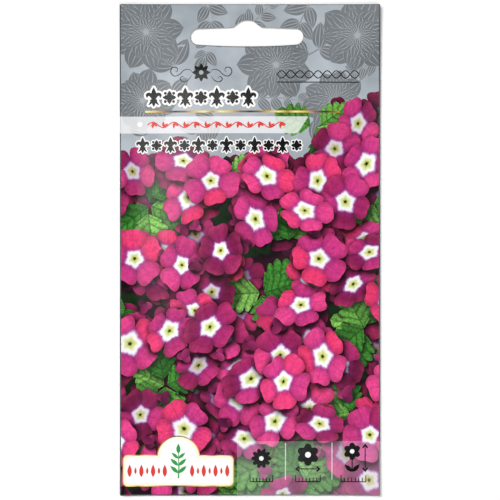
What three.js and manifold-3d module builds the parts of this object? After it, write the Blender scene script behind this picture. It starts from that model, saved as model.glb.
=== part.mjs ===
// A flat packet for flower seeds. A printed front panel and a back panel of laminated paper are heat-sealed
// together round the rim and all over the header, a hang slot is punched through both, and ten loose seeds
// lie in the pouch. Millimetres. The packet lies on its back: +Z leaves the printed front, +Y points to the
// hang slot, and the origin is under the packet's middle, on the surface that it lies on.

import * as THREE from 'three';
import { mergeVertices } from 'three/addons/utils/BufferGeometryUtils.js';
import Module from 'manifold-3d';

const wasm = await Module();
wasm.setup();

// ---- driving dimensions ----

const packetWidth = 80;
const packetHeight = 151;
const panelThickness = 0.15;
const columns = 16; // cells across a panel
const rows = 30; // cells along a panel
const sideSealColumns = 1; // cells that each side seal takes
const bottomSealRows = 1;
const headerRows = 4; // the header is sealed all over, so that no seed gets out by the slot
const bellyHeight = 2.4; // widest gap between the panels

const flatHalfWidth = 25; // the back panel lies flat on the surface between these lines
const flatTop = 38;
const flatBottom = -58;
const sideLift = 0.6; // how far each rim curls up off the surface
const topLift = 0.6;
const bottomLift = 0.4;

const slotOffset = -1; // the punch sits a little left of the middle
const slotWidth = 34.8;
const slotEndRadius = 2.5;
const slotEndDrop = 9.9; // from the top edge down to the middle of the slot's round ends
const slotShoulderRise = 0.35; // the upper edge climbs this much from an end to the arch
const slotSag = 0.5; // the lower edge hangs this much in the middle
const archHalfWidth = 4.9;
const archRise = 2.25; // from the shoulders up to the crown
const archDome = 1.45; // above 1, the crown is broader than a plain wave's
const archFacets = 9; // an odd number, so that the crown is a flat facet
const slotCutDepth = 10;
const slotArcSegments = 10;

const seedCount = 10;
const seedLength = 3.4;
const seedRadius = 0.55;
const seedSides = 8;
const seedClearance = 0.05; // between a seed and the back panel under it
const seedOutline = [ // shares of the radius and of the length, from the blunt end
  [0, 0], [0.6, 0.04], [0.92, 0.17], [1, 0.42], [0.9, 0.69], [0.64, 0.88], [0.28, 0.98], [0, 1],
];
const scatterMiddle = new THREE.Vector2(0, -48);
const scatterStretch = new THREE.Vector2(1.25, 0.9);
const scatterSpacing = 2.6; // the scatter's radius is this times the root of a seed's number
const scatterTurn = THREE.MathUtils.degToRad(137.5); // from one seed to the next round the scatter
const seedLean = THREE.MathUtils.degToRad(52); // between the ways that two seeds in turn point

// ---- sizes worked out from them ----

const pouchHalfWidth = packetWidth * (0.5 - sideSealColumns / columns);
const pouchTop = packetHeight * (0.5 - headerRows / rows);
const pouchBottom = packetHeight * (bottomSealRows / rows - 0.5);
const pouchMiddle = (pouchTop + pouchBottom) / 2;
const pouchHalfHeight = (pouchTop - pouchBottom) / 2;

// How far a value is on its way between two limits: 0 before the first, 1 past the second.
const share = (value, from, to) => THREE.MathUtils.clamp((value - from) / (to - from), 0, 1);

// Height of the back panel's underside above the surface.
function lift(x, y) {
  const side = share(Math.abs(x), flatHalfWidth, packetWidth / 2);
  const top = share(y, flatTop, packetHeight / 2);
  const bottom = share(y, flatBottom, -packetHeight / 2);
  return sideLift * side ** 2 + topLift * top ** 2 + bottomLift * bottom ** 2;
}

// Gap between the panels: a low cushion over the pouch, and none at the seals.
function gap(x, y) {
  const across = Math.min(1, Math.abs(x) / pouchHalfWidth);
  const along = Math.min(1, Math.abs(y - pouchMiddle) / pouchHalfHeight);
  return bellyHeight * (1 - across ** 2) * (1 - along ** 4);
}

// ---- solids ----

function solidFrom(geometry) {
  geometry.deleteAttribute('normal');
  geometry.deleteAttribute('uv');
  const merged = mergeVertices(geometry);
  return new wasm.Manifold(new wasm.Mesh({
    numProp: 3,
    vertProperties: new Float32Array(merged.attributes.position.array),
    triVerts: new Uint32Array(merged.index.array),
  }));
}

function geometryFrom(solid) {
  const mesh = solid.getMesh();
  const geometry = new THREE.BufferGeometry();
  geometry.setAttribute('position', new THREE.BufferAttribute(mesh.vertProperties, 3));
  geometry.setIndex(new THREE.BufferAttribute(mesh.triVerts, 1));
  geometry.computeVertexNormals();
  return geometry;
}

// The hang slot: round ends, an upper edge that climbs to a faceted arch, and a sagging lower edge.
function slotOutline() {
  const endX = slotWidth / 2 - slotEndRadius;
  const shoulder = slotEndRadius + slotShoulderRise;
  const outline = new THREE.Shape();
  outline.moveTo(endX, -slotEndRadius);
  outline.absarc(endX, 0, slotEndRadius, -Math.PI / 2, Math.PI / 2);
  for (let i = 0; i <= archFacets; i++) {
    const across = 1 - (2 * i) / archFacets;
    const rise = archRise * (0.5 + 0.5 * Math.cos(Math.PI * Math.abs(across) ** archDome));
    outline.lineTo(archHalfWidth * across, shoulder + rise);
  }
  outline.lineTo(-endX, slotEndRadius);
  outline.absarc(-endX, 0, slotEndRadius, Math.PI / 2, 1.5 * Math.PI);
  outline.quadraticCurveTo(0, -slotEndRadius - 2 * slotSag, endX, -slotEndRadius);
  return outline;
}

function slotCutter() {
  const cutter = new THREE.ExtrudeGeometry(slotOutline(), {
    depth: slotCutDepth,
    bevelEnabled: false,
    curveSegments: slotArcSegments,
  });
  cutter.translate(slotOffset, packetHeight / 2 - slotEndDrop, -slotCutDepth / 2);
  return solidFrom(cutter);
}

// One panel: a thin box of small cells, each vertex raised to the height that the paper has there.
function panelGeometry(undersideAt) {
  const box = new THREE.BoxGeometry(packetWidth, packetHeight, panelThickness, columns, rows, 1);
  const at = box.attributes.position;
  for (let i = 0; i < at.count; i++) {
    at.setZ(i, at.getZ(i) + panelThickness / 2 + undersideAt(at.getX(i), at.getY(i)));
  }
  return geometryFrom(solidFrom(box).subtract(slotCutter()));
}

// A seed lying along X: an ovoid with its blunt end to the left.
function seedGeometry() {
  const profile = seedOutline.map(([r, along]) => (
    new THREE.Vector2(r * seedRadius, (along - 0.5) * seedLength)
  ));
  return new THREE.LatheGeometry(profile, seedSides).rotateZ(-Math.PI / 2);
}

// ---- the packet ----

const printedPaper = new THREE.MeshStandardMaterial({ color: 0xc2397f, roughness: 0.42, metalness: 0 });
const backPaper = new THREE.MeshStandardMaterial({ color: 0xdcdddf, roughness: 0.5, metalness: 0 });
const seedCoat = new THREE.MeshStandardMaterial({ color: 0x5f4630, roughness: 0.85, metalness: 0 });

const packet = new THREE.Group();

function addPiece(name, geometry, material) {
  const piece = new THREE.Mesh(geometry, material);
  piece.name = name;
  packet.add(piece);
  return piece;
}

addPiece('back_panel', panelGeometry(lift), backPaper);
addPiece('front_panel', panelGeometry((x, y) => lift(x, y) + panelThickness + gap(x, y)), printedPaper);

for (let i = 0; i < seedCount; i++) {
  const reach = scatterSpacing * Math.sqrt(i + 0.5);
  const x = scatterMiddle.x + reach * Math.cos(scatterTurn * i) * scatterStretch.x;
  const y = scatterMiddle.y + reach * Math.sin(scatterTurn * i) * scatterStretch.y;
  const seed = addPiece(`seed_${String(i + 1).padStart(2, '0')}`, seedGeometry(), seedCoat);
  seed.position.set(x, y, lift(x, y) + panelThickness + seedClearance + seedRadius);
  seed.rotation.z = seedLean * i;
}

export default packet;
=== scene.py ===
import bpy
import math
import random
import numpy as np
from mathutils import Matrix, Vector
from mathutils.geometry import delaunay_2d_cdt


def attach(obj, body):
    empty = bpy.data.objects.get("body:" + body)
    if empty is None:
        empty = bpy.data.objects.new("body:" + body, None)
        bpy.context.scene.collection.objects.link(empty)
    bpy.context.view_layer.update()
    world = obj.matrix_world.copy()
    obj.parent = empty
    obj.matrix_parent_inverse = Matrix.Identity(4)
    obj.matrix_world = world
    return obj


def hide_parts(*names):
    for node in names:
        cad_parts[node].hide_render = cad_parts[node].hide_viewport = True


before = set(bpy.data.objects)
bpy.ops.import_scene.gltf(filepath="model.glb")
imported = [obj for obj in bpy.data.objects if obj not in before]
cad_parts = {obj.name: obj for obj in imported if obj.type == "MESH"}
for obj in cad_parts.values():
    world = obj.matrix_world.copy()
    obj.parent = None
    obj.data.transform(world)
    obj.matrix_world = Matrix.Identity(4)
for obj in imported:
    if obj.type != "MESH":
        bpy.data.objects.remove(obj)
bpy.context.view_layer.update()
mm = 0.001  # the print is drawn in millimetres, and the meshes are made in metres

packet = {
    "width": 80.0, "height": 151.0, "paper": 0.15, "corner": 0.5,
    "belly": 2.4, "pouchHalfWidth": 35.0, "pouchTop": 55.367, "pouchBottom": -70.467,
    "flatHalfWidth": 25.0, "flatTop": 38.0, "flatBottom": -58.0,
    "sideLift": 0.6, "topLift": 0.6, "bottomLift": 0.4,
    "dents": 0.35, "dentScale": 45.0, "rimWaves": 0.6,  # shares by which the belly and the rims are uneven
    "meshStep": 2.0, "weld": 0.004, "sharpAngle": 40.0,
}
halfX, halfY = packet["width"] / 2, packet["height"] / 2
slot = {
    "middleX": -1.0, "width": 34.8, "endRadius": 2.5, "endDrop": 9.9, "shoulderRise": 0.35,
    "sag": 0.5, "archHalfWidth": 4.9, "archRise": 2.25, "archDome": 1.45, "points": 15,
}


def at(x=0.0, y=0.0, angle=0.0, size=1.0, tiltWay=0.0, tilt=1.0):
    # the place of a motif: turned, sized, then squashed by tilt along the direction tiltWay
    def turn(a):
        return np.array([[math.cos(a), -math.sin(a), 0], [math.sin(a), math.cos(a), 0], [0, 0, 1]])
    move = np.array([[1, 0, x], [0, 1, y], [0, 0, 1]], float)
    squash = np.diag([tilt, 1, 1])
    return move @ turn(tiltWay) @ squash @ turn(-tiltWay) @ turn(angle) @ np.diag([size, size, 1])


def placed(outline, place):
    points = np.column_stack([np.array(outline, float), np.ones(len(outline))])
    return (points @ place.T)[:, :2]


def ellipse(rx, ry=None, count=28, x=0.0, y=0.0):
    ry = rx if ry is None else ry
    return [(x + rx * math.cos(k * math.tau / count), y + ry * math.sin(k * math.tau / count))
            for k in range(count)]


def box(left, bottom, right, top, corner=0.0, count=6):
    if not corner:
        return [(left, bottom), (right, bottom), (right, top), (left, top)]
    points = []
    middles = ((right - corner, top - corner), (left + corner, top - corner),
               (left + corner, bottom + corner), (right - corner, bottom + corner))
    for quarter, (x, y) in enumerate(middles):
        for k in range(count + 1):
            a = (quarter + k / count) * math.pi / 2
            points.append((x + corner * math.cos(a), y + corner * math.sin(a)))
    return points


def ribbon(path, widths):
    # a stroke along a path; widths is one width, or one for each point
    left, right = [], []
    for k, (x, y) in enumerate(path):
        x0, y0 = path[max(k - 1, 0)]
        x1, y1 = path[min(k + 1, len(path) - 1)]
        length = math.hypot(x1 - x0, y1 - y0) or 1.0
        w = (widths[k] if isinstance(widths, list) else widths) / 2
        nx, ny = -(y1 - y0) / length * w, (x1 - x0) / length * w
        left.append((x + nx, y + ny))
        right.append((x - nx, y - ny))
    return left + right[::-1]


def smoothPath(knots, count=4):
    # a curve through all the knots
    knots = np.array(knots, float)
    padded = np.vstack([2 * knots[0] - knots[1], knots, 2 * knots[-1] - knots[-2]])
    path = []
    for a, b, c, d in zip(padded, padded[1:], padded[2:], padded[3:]):
        for t in np.arange(count) / count:
            path.append(0.5 * (2 * b + (c - a) * t + (2 * a - 5 * b + 4 * c - d) * t ** 2
                               + (3 * b - a - 3 * c + d) * t ** 3))
    return np.array(path + [knots[-1]])


def stroke(knots, widths, count=4):
    # a smooth ribbon through knots, with a width at each of them
    curve = smoothPath([(x, y, w) for (x, y), w in zip(knots, widths)], count)
    return ribbon(curve[:, :2].tolist(), curve[:, 2].tolist())


def slotOutline():
    endX = slot["width"] / 2 - slot["endRadius"]
    r, n = slot["endRadius"], slot["points"]
    points = [(endX + r * math.sin(math.pi * k / n), -r * math.cos(math.pi * k / n)) for k in range(n + 1)]
    for k in range(2 * n + 1):
        across = 1 - k / n
        rise = slot["archRise"] * (0.5 + 0.5 * math.cos(math.pi * abs(across) ** slot["archDome"]))
        points.append((slot["archHalfWidth"] * across, r + slot["shoulderRise"] + rise))
    points += [(-endX - r * math.sin(math.pi * k / n), r * math.cos(math.pi * k / n))
               for k in range(n + 1)]
    for k in range(1, n):
        t = 2 * k / n - 1
        points.append((endX * t, -r - slot["sag"] * (1 - t * t)))
    return placed(points, at(slot["middleX"], halfY - slot["endDrop"]))


drawing = []  # outlines laid on each other like printed layers, the last on top


def lay(outline, ink, place=None, tone=0.5, depth=0.0, bloom=None, seed=0.0):
    place = at() if place is None else place
    drawing.append({
        "kind": "ink", "ink": ink, "outline": placed(outline, place), "place": place,
        "tone": tone, "depth": depth, "bloom": place if bloom is None else bloom, "seed": seed,
    })


def castShade(outline, place, shift, reach):
    # a soft shadow on what is under the next motif: full inside the outline, none past its reach
    core = placed(outline, place) + np.array(shift)
    middle = core.mean(axis=0)
    spread = np.linalg.norm(core - middle, axis=1).mean()
    rim = middle + (core - middle) * (1 + reach / spread)
    drawing.append({"kind": "shade", "outline": core, "core": core, "reach": reach})
    drawing.append({"kind": "shade", "outline": rim, "core": core, "reach": reach})


def layFilm(outline, strength):
    drawing.append({"kind": "film", "outline": np.array(outline), "strength": strength})


blossom = {
    "petals": 5, "squashed": 0.72, "deepSquash": 0.25, "petalTurn": 0.09, "petalSize": (0.90, 1.07),
    "toneSpread": (-0.42, 0.30), "halfWidth": 0.66, "waist": 0.60, "bulge": 0.40, "base": 0.03,
    "notch": 0.06, "notchWidth": 0.26, "ruffle": 0.022, "points": 36,
    "shadeShift": (0.5, -0.85), "shadeReach": 2.0, "shadePoints": 25, "shadeShape": (0.89, 0.08),
}
bud = {"petals": 3, "petal": (0.75, 0.55), "shape": (1, 0.8), "points": 14}
leaf = {
    "lobes": 5, "lobeDepth": 0.30, "lobeLean": 0.045, "lobeRoundness": 0.7, "halfWidth": 0.42,
    "fullness": (0.8, 0.75), "uneven": (0.96, 1.04), "veinLean": 1.5, "squashed": 0.85,
}
smallShade = {"shift": (0.3, -0.5), "budReach": 1.0, "leafReach": 1.1}


def petalOutline(rng):
    # unit petal from the bloom's middle along +X
    s, points = blossom, []
    a, b = rng.uniform(0, math.tau), rng.uniform(0, math.tau)
    for k in range(s["points"]):
        turn = k * math.tau / s["points"]
        along = (1 + s["base"]) / 2 - (1 - s["base"]) / 2 * math.cos(turn)
        along -= s["notch"] * math.exp(-((turn - math.pi) / s["notchWidth"]) ** 2)
        across = s["halfWidth"] * math.sin(turn) * (s["waist"] - s["bulge"] * math.cos(turn))
        ripple = math.sin(3 * turn + a) + math.sin(5 * turn + b)
        wave = 1 + s["ruffle"] * ripple * (1 - math.cos(turn)) / 2
        points.append((along * wave, across * wave))
    return points


def bloomOutline():
    # rough outline of a whole open bloom of radius 1
    mean, swing = blossom["shadeShape"]
    points = []
    for k in range(blossom["shadePoints"]):
        a = k * math.tau / blossom["shadePoints"]
        reach = mean + swing * math.cos(blossom["petals"] * a)
        points.append((reach * math.cos(a), reach * math.sin(a)))
    return points


def drawBlossom(rng, x, y, radius, depth, tone):
    s = blossom
    squashed = s["squashed"] - s["deepSquash"] * depth
    place = at(x, y, rng.uniform(0, math.tau), radius, rng.uniform(0, math.pi), rng.uniform(squashed, 1.0))
    castShade(bloomOutline(), place, s["shadeShift"], s["shadeReach"])
    order = list(range(s["petals"]))
    rng.shuffle(order)
    seed = rng.uniform(0, 50)
    for k in order:
        turn = k * math.tau / s["petals"] + rng.uniform(-s["petalTurn"], s["petalTurn"])
        petal = place @ at(0, 0, turn, rng.uniform(*s["petalSize"]))
        lay(petalOutline(rng), "petal", petal, tone + rng.uniform(*s["toneSpread"]), depth, place, seed)


def drawBud(rng, x, y, size, depth):
    place = at(x, y, rng.uniform(0, math.tau), size)
    castShade(ellipse(*bud["shape"], bud["points"]), place, smallShade["shift"], smallShade["budReach"])
    for k in range(bud["petals"]):
        petal = place @ at(0, 0, k * math.tau / bud["petals"])
        lay(ellipse(*bud["petal"], bud["points"], 0.35), "bud", petal, rng.random(), depth)


def leafOutline(rng):
    # unit leaf from its stalk along +X, with rounded lobes
    s, side = leaf, []
    steps = s["lobes"] * 6
    for k in range(1, steps):
        t = k / steps
        lobe = abs(math.sin(math.pi * s["lobes"] * t)) ** s["lobeRoundness"]
        width = s["halfWidth"] * math.sin(math.pi * t ** s["fullness"][0]) ** s["fullness"][1]
        side.append((t + s["lobeLean"] * lobe, width * (1 - s["lobeDepth"] * (1 - lobe))))
    lower = [(x, -y * rng.uniform(*s["uneven"])) for x, y in reversed(side)]
    return [(0, 0.012)] + side + [(1.04, 0)] + lower + [(0, -0.012)]


def drawLeaf(rng, x, y, length, angle, depth, tone):
    place = at(x, y, angle, length, rng.uniform(0, math.pi), rng.uniform(leaf["squashed"], 1.0))
    outline = leafOutline(rng)
    castShade(outline[::2], place, smallShade["shift"], smallShade["leafReach"])
    lay(outline, "leaf", place, tone, depth)


# the front's picture: blossoms crowded over leaves, in three storeys from the deepest to the nearest
picture = {
    "top": 32.5, "rightTop": 46.5, "climb": (12, 22),  # where the edge starts to climb, and its span
    "edge": {"drop": 5, "wave": 1.5, "turns": 0.7, "points": 30}, "seed": 11,
    "skip": 0.10, "leafClear": 0.66, "rowPitch": 0.87,
    "storeys": [
        {"step": 13.5, "jitter": 0.26, "phase": 0.0,
         "radius": (7.2, 8.8), "depth": (0.55, 0.95), "tone": (0.0, 0.7)},
        {"step": 14.5, "jitter": 0.30, "phase": 0.4,
         "radius": (7.8, 9.2), "depth": (0.12, 0.5), "tone": (0.1, 0.9)},
        {"step": 15.5, "jitter": 0.30, "phase": 0.75,
         "radius": (8.2, 9.8), "depth": (0.0, 0.15), "tone": (0.35, 1.0)},
    ],
    "buds": {"chance": 0.45, "away": 9, "size": (1.8, 2.8), "depth": (0.2, 0.8)},
    "leaves": {"count": 6, "away": 0.25, "size": (0.8, 1.2), "lean": 0.5,
               "depth": (0, 0.4), "tone": (0.2, 1.0)},
    "leafPatches": [  # x, y and how far the leaves spread
        (-31, 14, 14), (20, 38, 12), (3, -13, 14), (35, -24, 14), (-26, -42, 13), (-1, -69, 13),
        (8, -64, 15), (17, -71, 11), (38, 14, 10), (-6, 24, 9), (-38, -18, 11), (-33, -60, 11),
        (12, 3, 9), (31, -50, 10),
    ],
}


def pictureTop(x):
    # the level that the blossoms climb to: higher at the right edge
    start, span = picture["climb"]
    rise = max(0.0, min(1.0, (x - start) / span))
    return picture["top"] + (picture["rightTop"] - picture["top"]) * rise * rise * (3 - 2 * rise)


def scatter(rng, storey):
    # shuffled places on a grid of uneven rows that starts a little outside the packet
    step, phase, jitter = storey["step"], storey["phase"], storey["jitter"] * storey["step"]
    places, row = [], 0
    y = -halfY - step * (0.3 - phase)
    while y < picture["rightTop"] + step:
        x = -halfX - step * (0.5 * (row % 2) - 0.7 * phase)
        while x < halfX + step * 0.6:
            px, py = x + rng.uniform(-jitter, jitter), y + rng.uniform(-jitter, jitter)
            if py < pictureTop(px) - 3:
                places.append((px, py))
            x += step
        y += step * picture["rowPitch"]
        row += 1
    rng.shuffle(places)
    return places


def drawStorey(rng, storey, clearing):
    buds = picture["buds"]
    for x, y in scatter(rng, storey):
        near = min(math.hypot(x - px, y - py) / spread for px, py, spread in picture["leafPatches"])
        if clearing and (near < picture["leafClear"] or rng.random() < picture["skip"]):
            continue
        drawBlossom(rng, x, y, *(rng.uniform(*storey[draw]) for draw in ("radius", "depth", "tone")))
        if rng.random() < buds["chance"]:
            turn = rng.uniform(0, math.tau)
            drawBud(rng, x + buds["away"] * math.cos(turn), y + buds["away"] * math.sin(turn),
                    rng.uniform(*buds["size"]), rng.uniform(*buds["depth"]))


def drawPicture():
    rng = random.Random(picture["seed"])
    s = picture["edge"]
    half = halfX + 2
    edge = [(x, pictureTop(x) - s["drop"] + s["wave"] * math.sin(x * s["turns"]))
            for x in np.linspace(half, -half, s["points"])]
    lay([(-half, -80), (half, -80)] + edge, "gap")
    deep, middle, front = picture["storeys"]
    drawStorey(rng, deep, False)
    s = picture["leaves"]
    for x, y, spread in picture["leafPatches"]:
        for _ in range(s["count"]):
            turn = rng.uniform(0, math.tau)
            away = rng.uniform(0, s["away"]) * spread
            drawLeaf(rng, x + away * math.cos(turn), y + away * math.sin(turn),
                     rng.uniform(*s["size"]) * spread, turn + rng.uniform(-s["lean"], s["lean"]),
                     rng.uniform(*s["depth"]), rng.uniform(*s["tone"]))
    drawStorey(rng, middle, True)
    drawStorey(rng, front, True)


# the header: grey flower heads and sprays, tone on tone, with fine pale lines
header = {
    "seed": 5, "sizeUnit": 20.0, "roundness": 0.8,
    "petalSwell": 1.5, "leafSwell": 0.85,  # a blade is widest past its middle above 1, before it below 1
    "rings": ((1.0, 9, 0.30), (0.80, 9, 0.30), (0.60, 8, 0.32), (0.42, 7, 0.34), (0.26, 5, 0.40)),
    "petalSize": (0.90, 1.08), "petalTurn": 0.12, "petalWidth": (0.9, 1.1), "eye": 0.07,
    "sprayParts": 12, "stem": 0.55, "taper": 0.035,  # less at each part along the spray
    "leafWidth": 0.30, "leafShare": (0.34, 0.46), "leafTurn": (0.7, 1.0), "tipShare": 0.35,
    "heads": [(8, 57, 11.5), (-32, 67, 11.5), (33, 66, 12), (-33, 46, 10), (26, 46, 10)],  # x, y, radius
    "sprays": [  # x, y, angle, length, bend
        (-22, 53, 1.9, 24, 0.7), (-14, 78, -1.2, 19, -0.8), (18, 60, 0.5, 22, 0.6),
        (-8, 42, -2.6, 20, 0.5), (20, 78, -2.2, 22, 0.7), (-40, 61, 0.1, 15, 0.9),
        (18, 42, -0.6, 18, -0.6), (-20, 63, 3.3, 17, -0.5), (-6, 66, 0.4, 16, 0.6),
        (0, 46, 0.2, 16, -0.5), (-40, 36, 0.5, 20, 0.3), (40, 58, 3.4, 12, 0.4),
    ],
}


def blade(width, swell, count=7, roundness=header["roundness"]):
    # unit petal or leaf along +X, from a point at its foot
    upper = [(k / count, width * max(0, math.sin(math.pi * (k / count) ** swell)) ** roundness)
             for k in range(count + 1)]
    return upper + [(x, -y) for x, y in reversed(upper[1:-1])]


def lancet(width, count=7):
    # unit leaf shape for the small ornaments, pointed at both ends
    return blade(width, 0.85, count, 1)


def drawEngraved(x, y, angle, size, width, swell):
    # its ink draws the pale rim and veins from the blade's width (tone), size (depth) and swell (seed)
    lay(blade(width, swell), "motif", at(x, y, angle, size), width, size / header["sizeUnit"], seed=swell)


def drawHead(rng, x, y, radius):
    s = header
    for reach, count, width in s["rings"]:
        start = rng.uniform(0, math.tau)
        for k in range(count):
            size = reach * radius * rng.uniform(*s["petalSize"])
            turn = start + (k + rng.uniform(-s["petalTurn"], s["petalTurn"])) * math.tau / count
            drawEngraved(x, y, turn, size, width * rng.uniform(*s["petalWidth"]), s["petalSwell"])
    lay(ellipse(s["eye"], count=12), "motifLine", at(x, y, 0, radius))


def drawSpray(rng, x, y, angle, length, bend):
    s = header
    parts = s["sprayParts"]
    path = []
    for k in range(parts + 1):
        way = angle + bend * (k / parts)
        path.append((x, y))
        x, y = x + length / parts * math.cos(way), y + length / parts * math.sin(way)
    lay(ribbon(path, [s["stem"] - s["taper"] * k for k in range(parts + 1)]), "motif")
    for k in range(2, parts, 3):
        (x0, y0), (x1, y1) = path[k], path[k + 1]
        way = math.atan2(y1 - y0, x1 - x0)
        for side in (-1, 1):
            size = length * rng.uniform(*s["leafShare"]) * (1 - s["taper"] * k)
            turn = way + side * rng.uniform(*s["leafTurn"])
            drawEngraved(x0, y0, turn, size, s["leafWidth"], s["leafSwell"])
    drawEngraved(*path[-1], angle + bend, length * s["tipShare"], s["leafWidth"], s["leafSwell"])


def drawHeader(rng, side):
    # side is 1 on the front, and -1 on the back, where the header is mirrored
    for x, y, angle, length, bend in header["sprays"]:
        drawSpray(rng, side * x, y, angle if side > 0 else math.pi - angle, length, side * bend)
    for x, y, radius in header["heads"]:
        drawHead(rng, side * x, y, radius)


# the printed marks: ornaments, rule, banner, plate and strip, with no lettering
marks = {
    "boldness": 0.07, "roundStep": 0.45,
    "title": {"left": -29.6, "bottom": 44.2, "pitch": 4.85, "count": 7, "size": 5.6, "halo": 0.65},
    "maker": {"left": 8.3, "right": 33.6, "y": 54.0, "wave": 1.15, "turns": 4.5, "line": 0.32,
              "under": 51.6},
    # widths of the painted edge shade along each rim and under the slot
    "rim": {"right": 0.40, "bottom": 0.38, "top": 0.18, "left": 0.36, "slot": 0.24},
    "rule": {"left": -32.2, "right": 27.5, "bottom": 42.2, "top": 42.8},
    "banner": {"bottom": 35.8, "top": 41.0, "rightBottom": 14.6, "rightTop": 17.9, "strength": 0.76},
    "vine": {"left": -31.5, "right": 11.0, "y": 38.4, "wave": 0.85, "turns": 6.5, "line": 0.34,
             "leaf": 1.9, "leans": (0.5, -0.4), "dot": (-33.9, 38.6), "dotRadius": 0.75},
    "name": {"left": -33.0, "y": 32.2, "pitch": 4.3, "count": 12, "size": 4.6, "halo": 0.4},
    "crest": {
        "x": -15.0, "y": 54.6, "radius": 2.9, "leaves": 8, "line": 0.20,
        "scroll": [(2.3, -0.4), (3.6, 0.9), (5.3, 0.7), (6.7, -0.6), (8.3, -1.1), (9.4, 0.1), (8.9, 1.5),
                   (7.6, 1.5), (7.3, 0.5), (8.0, 0.1)],
        "curl": [(3.0, -0.9), (4.0, -2.4), (5.6, -2.9), (6.5, -2.0), (5.8, -1.2), (5.1, -1.8)],
    },
    "plate": {
        "left": -39.1, "right": -4.9, "bottom": -72.7, "top": -63.0, "corner": 1.5, "goldLine": 0.3,
        "border": 1.0, "medal": 6.6, "medalY": -63.6, "sprigDrop": 6.6,
        "stem": [(0, 0), (0.15, 3.5), (0, 8.0)], "stemWidths": [0.45, 0.36, 0.2],
        "sprigLeaves": ((1.6, 3.4), (3.9, 3.3), (6.1, 2.8)), "sprigTip": (7.6, 3.2),  # height, length
        "shapes": 7, "shapeStart": 4.2, "shapePitch": 1.8, "shapeSize": 3.9,
    },
    "strip": {"left": -4.0, "top": -58.7, "strength": 0.28, "dividers": (10.9, 25.2), "dividerTop": -59.2,
              "dividerBottom": -70.6, "divider": 0.3, "dividerStrength": 0.8},
    "pictograms": {
        "sun": (3.5, -64.0), "sunRadius": 2.35, "rays": 10,
        "flowers": ((17.8, -62.9, 3.5), (31.4, -61.9, 2.7)),  # x, y, radius
        "stem": (-0.18, -68.0, 0.18, -64.0), "stemX": 31.4, "leafY": -68.2,
        "arrows": ((13.8, -67.3, 21.8, -67.3), (35.4, -59.5, 35.4, -68.3)),
        "rulers": ((0.0, 7.0), (14.0, 21.6), (28.0, 35.6)), "rulerBottom": -71.4, "rulerTop": -71.1,
        "ticks": 7, "tickHalf": 0.14, "tickBottom": -71.2, "tickTop": -70.0, "endTickTop": -69.2,
    },
}


def grown(outline, by):
    # an outline moved outwards by a distance, with round corners
    ring, points = anticlockwise(outline), []
    for before, here, after in zip(np.roll(ring, 1, axis=0), ring, np.roll(ring, -1, axis=0)):
        start = math.atan2(*(before - here)[::-1]) + math.pi / 2
        turn = (math.atan2(*(after - here)[::-1]) - math.pi / 2 - start + math.pi) % math.tau - math.pi
        parts = math.ceil(turn / marks["roundStep"]) if turn > marks["roundStep"] else 0
        for k in range(parts + 1):
            way = start + turn * (k / parts if parts else 0.5)
            points.append(here + by * np.array([math.cos(way), math.sin(way)]))
    return np.array(points)


def lily():
    # unit ornament of three petals over a band and a foot
    parts = [placed(lancet(0.19), at(0, 0.30, math.pi / 2, 0.72)), box(-0.19, 0.27, 0.19, 0.36, 0.04, 2),
             placed(lancet(0.24, 5), at(0, 0.32, -math.pi / 2, 0.34))]
    for side in (-1, 1):
        petal = [(0.05, 0.33), (0.10, 0.50), (0.22, 0.65), (0.36, 0.62), (0.36, 0.48)]
        foot = [(0.05, 0.30), (0.15, 0.20), (0.27, 0.07)]
        parts.append(stroke([(side * x, y) for x, y in petal], [0.05, 0.12, 0.17, 0.13, 0.04]))
        parts.append(stroke([(side * x, y) for x, y in foot], [0.06, 0.10, 0.02]))
    return parts


def lozenge():
    # unit ornament of four blades with four dots between them
    parts = [placed(lancet(0.34, 5), at(0, 0.48, k * math.pi / 2, 0.36)) for k in range(4)]
    dots = [placed(ellipse(0.07, count=8), at(0, 0.48) @ at(0, 0, (k + 0.5) * math.pi / 2) @ at(0.32))
            for k in range(4)]
    return parts + dots


def drawRow(s, bottom):
    # lilies and lozenges in turn, all the haloes under all the ornaments
    places = [at(s["left"] + s["pitch"] * k, bottom, 0, s["size"]) for k in range(s["count"])]
    for ink, more in (("white", s["halo"]), ("black", marks["boldness"])):
        for k, place in enumerate(places):
            for part in (lozenge() if k % 2 else lily()):
                lay(grown(placed(part, place), more), ink)


def drawCrest():
    # an eight-leaved rosette between two scrolls, each with a small curl under it
    s = marks["crest"]
    place = at(s["x"], s["y"])
    for side in (-1, 1):
        for knots in (s["scroll"], s["curl"]):
            last = len(knots) - 1
            widths = [s["line"] * (0.5 + math.sin(math.pi * k / last)) for k in range(last + 1)]
            lay(stroke([(side * x, y) for x, y in knots], widths, 5), "black", place)
    for k in range(s["leaves"]):
        lay(lancet(0.26), "black", at(s["x"], s["y"], k * math.tau / s["leaves"], s["radius"]))
    lay(ellipse(0.7, count=14), "motifLine", place)


def wavePath(s, parts, side=1):
    span = s["right"] - s["left"]
    return [(s["left"] + span * t, s["y"] + side * s["wave"] * math.sin(math.tau * s["turns"] * t))
            for t in (k / parts for k in range(parts + 1))]


def drawMakerPlace():
    # two waves that cross, over a thin line
    s = marks["maker"]
    for side in (-1, 1):
        lay(ribbon(wavePath(s, 63, side), s["line"]), "black")
    lay(box(s["left"], s["under"] - s["line"] / 2, s["right"], s["under"] + s["line"] / 2), "black")


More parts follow.
